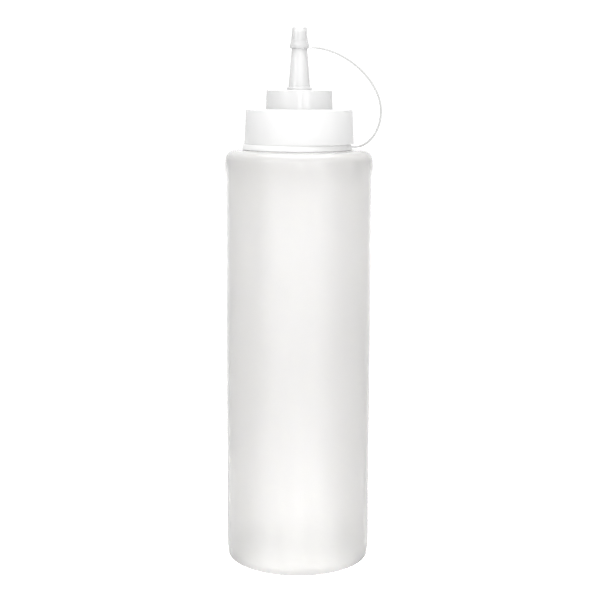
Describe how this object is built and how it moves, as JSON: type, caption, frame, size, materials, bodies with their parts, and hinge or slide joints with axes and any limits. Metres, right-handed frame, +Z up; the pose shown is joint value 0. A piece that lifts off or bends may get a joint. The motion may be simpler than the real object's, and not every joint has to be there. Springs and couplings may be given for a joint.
{
  "type": "squeeze sauce bottle",
  "caption": "Tall round translucent squeeze bottle for sauce, with a stepped screw cap, a tapered nozzle and a tip cap held captive by a thin strap.",
  "frame": {"origin": "centre of the flat ring that the bottle stands on, on the bottle's axis", "axes": "+Z up along the bottle's axis to the nozzle, +X towards the captive strap"},
  "size_m": [0.0823, 0.078, 0.2843],
  "materials": {
    "bottle_body": "translucent natural polyethylene, waxy satin",
    "cap": "milky translucent polyethylene, satin",
    "tether": "milky translucent flexible polyethylene, satin"
  },
  "bodies": {
    "bottle": {"bottle": "bottle_body"},
    "neck_band": {"neck_band": "tether"},
    "screw_cap": {"screw_cap": "cap", "nozzle": "cap"},
    "strap": {"strap": "tether"},
    "tip_cap": {"tip_cap": "tether"}
  },
  "joints": [
    {"name": "cap_turn", "type": "hinge", "parent": "bottle", "child": "neck_band", "pos_m": [0, 0, 0.2313], "axis": [0, 0, 1], "range_deg": [0, 720]},
    {"name": "cap_lift", "type": "slide", "parent": "neck_band", "child": "screw_cap", "axis": [0, 0, 1], "range_m": [0, 0.0085], "deforming": ["strap"]},
    {"name": "tip_pull", "type": "slide", "parent": "screw_cap", "child": "strap", "axis": [0, 0, 1], "range_m": [0, 0.024], "deforming": ["strap"]},
    {"name": "tip_tilt", "type": "hinge", "parent": "strap", "child": "tip_cap", "pos_m": [0.00666, 0, 0.27377], "axis": [0, 1, 0], "range_deg": [0, 37]}
  ],
  "couplings": [
    {"joint": "cap_lift", "follows": "cap_turn", "m_per_rad": 0.00067322},
    {"joint": "tip_tilt", "follows": "tip_pull", "rad_per_m": 26.18}
  ]
}
